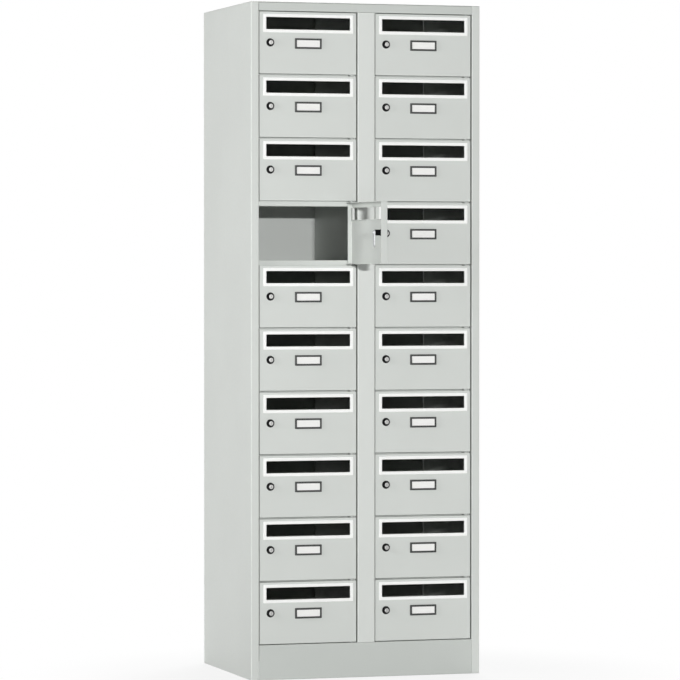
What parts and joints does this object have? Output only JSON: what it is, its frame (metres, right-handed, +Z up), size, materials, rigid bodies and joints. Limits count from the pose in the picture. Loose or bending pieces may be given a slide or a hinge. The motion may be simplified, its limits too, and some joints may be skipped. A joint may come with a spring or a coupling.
{
  "type": "mail distribution cabinet",
  "caption": "Tall light-grey sheet-steel mail cabinet: stacked letter boxes with hinged, locking doors, each with a posting slot, cam lock and label frame, on a plinth",
  "frame": {"origin": "on the floor, in the middle of the plinth's foot flange: centred left to right, 15 mm behind the front plane", "axes": "+Z up, the front faces -Y, +X to the right seen from the front"},
  "size_m": [0.64, 0.7291, 1.8],
  "materials": {
    "paint": "light grey powder coat, satin, fine texture",
    "lock": "nickel-plated die-cast zinc"
  },
  "bodies": {
    "case": {"left_side_panel": "paint", "right_side_panel": "paint", "back_panel": "paint", "top_panel": "paint", "bottom_panel": "paint", "plinth_front": "paint", "header_rail": "paint", "left_stile": "paint", "right_stile": "paint", "centre_stile": "paint", "centre_partition": "paint", "shelf_01": "paint", "shelf_02": "paint", "shelf_03": "paint", "shelf_04": "paint", "shelf_05": "paint", "shelf_06": "paint", "shelf_07": "paint", "shelf_08": "paint", "shelf_09": "paint"},
    "door_L01": {"door_L01": "paint"},
    "door_L02": {"door_L02": "paint"},
    "door_L03": {"door_L03": "paint"},
    "door_L04": {"door_L04": "paint"},
    "door_L05": {"door_L05": "paint"},
    "door_L06": {"door_L06": "paint"},
    "door_L07": {"door_L07": "paint"},
    "door_L08": {"door_L08": "paint"},
    "door_L09": {"door_L09": "paint"},
    "door_L10": {"door_L10": "paint"},
    "door_R01": {"door_R01": "paint"},
    "door_R02": {"door_R02": "paint"},
    "door_R03": {"door_R03": "paint"},
    "door_R04": {"door_R04": "paint"},
    "door_R05": {"door_R05": "paint"},
    "door_R06": {"door_R06": "paint"},
    "door_R07": {"door_R07": "paint"},
    "door_R08": {"door_R08": "paint"},
    "door_R09": {"door_R09": "paint"},
    "door_R10": {"door_R10": "paint"},
    "lock_L01": {"lock_L01": "lock"},
    "lock_L02": {"lock_L02": "lock"},
    "lock_L03": {"lock_L03": "lock"},
    "lock_L04": {"lock_L04": "lock"},
    "lock_L05": {"lock_L05": "lock"},
    "lock_L06": {"lock_L06": "lock"},
    "lock_L07": {"lock_L07": "lock"},
    "lock_L08": {"lock_L08": "lock"},
    "lock_L09": {"lock_L09": "lock"},
    "lock_L10": {"lock_L10": "lock"},
    "lock_R01": {"lock_R01": "lock"},
    "lock_R02": {"lock_R02": "lock"},
    "lock_R03": {"lock_R03": "lock"},
    "lock_R04": {"lock_R04": "lock"},
    "lock_R05": {"lock_R05": "lock"},
    "lock_R06": {"lock_R06": "lock"},
    "lock_R07": {"lock_R07": "lock"},
    "lock_R08": {"lock_R08": "lock"},
    "lock_R09": {"lock_R09": "lock"},
    "lock_R10": {"lock_R10": "lock"}
  },
  "joints": [
    {"name": "door_swing_L01", "type": "hinge", "parent": "case", "child": "door_L01", "pos_m": [-0.0394, -0.007, 1.69185], "axis": [0, 0, 1], "range_deg": [0, 120]},
    {"name": "lock_turn_L01", "type": "hinge", "parent": "door_L01", "child": "lock_L01", "pos_m": [-0.2662, -0.013, 1.692], "axis": [0, 1, 0], "range_deg": [0, 90]},
    {"name": "door_swing_L02", "type": "hinge", "parent": "case", "child": "door_L02", "pos_m": [-0.0394, -0.007, 1.52355], "axis": [0, 0, 1], "range_deg": [0, 120]},
    {"name": "lock_turn_L02", "type": "hinge", "parent": "door_L02", "child": "lock_L02", "pos_m": [-0.2662, -0.013, 1.5237], "axis": [0, 1, 0], "range_deg": [0, 90]},
    {"name": "door_swing_L03", "type": "hinge", "parent": "case", "child": "door_L03", "pos_m": [-0.0394, -0.007, 1.35525], "axis": [0, 0, 1], "range_deg": [0, 120]},
    {"name": "lock_turn_L03", "type": "hinge", "parent": "door_L03", "child": "lock_L03", "pos_m": [-0.2662, -0.013, 1.3554], "axis": [0, 1, 0], "range_deg": [0, 90]},
    {"name": "door_swing_L04", "type": "hinge", "parent": "case", "child": "door_L04", "pos_m": [-0.0394, -0.007, 1.18695], "axis": [0, 0, 1], "range_deg": [-93, 27]},
    {"name": "lock_turn_L04", "type": "hinge", "parent": "door_L04", "child": "lock_L04", "pos_m": [-0.02154, -0.23317, 1.1871], "axis": [-0.9986, -0.0523, 0], "range_deg": [0, 90]},
    {"name": "door_swing_L05", "type": "hinge", "parent": "case", "child": "door_L05", "pos_m": [-0.0394, -0.007, 1.01865], "axis": [0, 0, 1], "range_deg": [0, 120]},
    {"name": "lock_turn_L05", "type": "hinge", "parent": "door_L05", "child": "lock_L05", "pos_m": [-0.2662, -0.013, 1.0188], "axis": [0, 1, 0], "range_deg": [0, 90]},
    {"name": "door_swing_L06", "type": "hinge", "parent": "case", "child": "door_L06", "pos_m": [-0.0394, -0.007, 0.85035], "axis": [0, 0, 1], "range_deg": [0, 120]},
    {"name": "lock_turn_L06", "type": "hinge", "parent": "door_L06", "child": "lock_L06", "pos_m": [-0.2662, -0.013, 0.8505], "axis": [0, 1, 0], "range_deg": [0, 90]},
    {"name": "door_swing_L07", "type": "hinge", "parent": "case", "child": "door_L07", "pos_m": [-0.0394, -0.007, 0.68205], "axis": [0, 0, 1], "range_deg": [0, 120]},
    {"name": "lock_turn_L07", "type": "hinge", "parent": "door_L07", "child": "lock_L07", "pos_m": [-0.2662, -0.013, 0.6822], "axis": [0, 1, 0], "range_deg": [0, 90]},
    {"name": "door_swing_L08", "type": "hinge", "parent": "case", "child": "door_L08", "pos_m": [-0.0394, -0.007, 0.51375], "axis": [0, 0, 1], "range_deg": [0, 120]},
    {"name": "lock_turn_L08", "type": "hinge", "parent": "door_L08", "child": "lock_L08", "pos_m": [-0.2662, -0.013, 0.5139], "axis": [0, 1, 0], "range_deg": [0, 90]},
    {"name": "door_swing_L09", "type": "hinge", "parent": "case", "child": "door_L09", "pos_m": [-0.0394, -0.007, 0.34545], "axis": [0, 0, 1], "range_deg": [0, 120]},
    {"name": "lock_turn_L09", "type": "hinge", "parent": "door_L09", "child": "lock_L09", "pos_m": [-0.2662, -0.013, 0.3456], "axis": [0, 1, 0], "range_deg": [0, 90]},
    {"name": "door_swing_L10", "type": "hinge", "parent": "case", "child": "door_L10", "pos_m": [-0.0394, -0.007, 0.17715], "axis": [0, 0, 1], "range_deg": [0, 120]},
    {"name": "lock_turn_L10", "type": "hinge", "parent": "door_L10", "child": "lock_L10", "pos_m": [-0.2662, -0.013, 0.1773], "axis": [0, 1, 0], "range_deg": [0, 90]},
    {"name": "door_swing_R01", "type": "hinge", "parent": "case", "child": "door_R01", "pos_m": [0.2826, -0.007, 1.69185], "axis": [0, 0, 1], "range_deg": [0, 120]},
    {"name": "lock_turn_R01", "type": "hinge", "parent": "door_R01", "child": "lock_R01", "pos_m": [0.0558, -0.013, 1.692], "axis": [0, 1, 0], "range_deg": [0, 90]},
    {"name": "door_swing_R02", "type": "hinge", "parent": "case", "child": "door_R02", "pos_m": [0.2826, -0.007, 1.52355], "axis": [0, 0, 1], "range_deg": [0, 120]},
    {"name": "lock_turn_R02", "type": "hinge", "parent": "door_R02", "child": "lock_R02", "pos_m": [0.0558, -0.013, 1.5237], "axis": [0, 1, 0], "range_deg": [0, 90]},
    {"name": "door_swing_R03", "type": "hinge", "parent": "case", "child": "door_R03", "pos_m": [0.2826, -0.007, 1.35525], "axis": [0, 0, 1], "range_deg": [0, 120]},
    {"name": "lock_turn_R03", "type": "hinge", "parent": "door_R03", "child": "lock_R03", "pos_m": [0.0558, -0.013, 1.3554], "axis": [0, 1, 0], "range_deg": [0, 90]},
    {"name": "door_swing_R04", "type": "hinge", "parent": "case", "child": "door_R04", "pos_m": [0.2826, -0.007, 1.18695], "axis": [0, 0, 1], "range_deg": [0, 120]},
    {"name": "lock_turn_R04", "type": "hinge", "parent": "door_R04", "child": "lock_R04", "pos_m": [0.0558, -0.013, 1.1871], "axis": [0, 1, 0], "range_deg": [0, 90]},
    {"name": "door_swing_R05", "type": "hinge", "parent": "case", "child": "door_R05", "pos_m": [0.2826, -0.007, 1.01865], "axis": [0, 0, 1], "range_deg": [0, 120]},
    {"name": "lock_turn_R05", "type": "hinge", "parent": "door_R05", "child": "lock_R05", "pos_m": [0.0558, -0.013, 1.0188], "axis": [0, 1, 0], "range_deg": [0, 90]},
    {"name": "door_swing_R06", "type": "hinge", "parent": "case", "child": "door_R06", "pos_m": [0.2826, -0.007, 0.85035], "axis": [0, 0, 1], "range_deg": [0, 120]},
    {"name": "lock_turn_R06", "type": "hinge", "parent": "door_R06", "child": "lock_R06", "pos_m": [0.0558, -0.013, 0.8505], "axis": [0, 1, 0], "range_deg": [0, 90]},
    {"name": "door_swing_R07", "type": "hinge", "parent": "case", "child": "door_R07", "pos_m": [0.2826, -0.007, 0.68205], "axis": [0, 0, 1], "range_deg": [0, 120]},
    {"name": "lock_turn_R07", "type": "hinge", "parent": "door_R07", "child": "lock_R07", "pos_m": [0.0558, -0.013, 0.6822], "axis": [0, 1, 0], "range_deg": [0, 90]},
    {"name": "door_swing_R08", "type": "hinge", "parent": "case", "child": "door_R08", "pos_m": [0.2826, -0.007, 0.51375], "axis": [0, 0, 1], "range_deg": [0, 120]},
    {"name": "lock_turn_R08", "type": "hinge", "parent": "door_R08", "child": "lock_R08", "pos_m": [0.0558, -0.013, 0.5139], "axis": [0, 1, 0], "range_deg": [0, 90]},
    {"name": "door_swing_R09", "type": "hinge", "parent": "case", "child": "door_R09", "pos_m": [0.2826, -0.007, 0.34545], "axis": [0, 0, 1], "range_deg": [0, 120]},
    {"name": "lock_turn_R09", "type": "hinge", "parent": "door_R09", "child": "lock_R09", "pos_m": [0.0558, -0.013, 0.3456], "axis": [0, 1, 0], "range_deg": [0, 90]},
    {"name": "door_swing_R10", "type": "hinge", "parent": "case", "child": "door_R10", "pos_m": [0.2826, -0.007, 0.17715], "axis": [0, 0, 1], "range_deg": [0, 120]},
    {"name": "lock_turn_R10", "type": "hinge", "parent": "door_R10", "child": "lock_R10", "pos_m": [0.0558, -0.013, 0.1773], "axis": [0, 1, 0], "range_deg": [0, 90]}
  ]
}
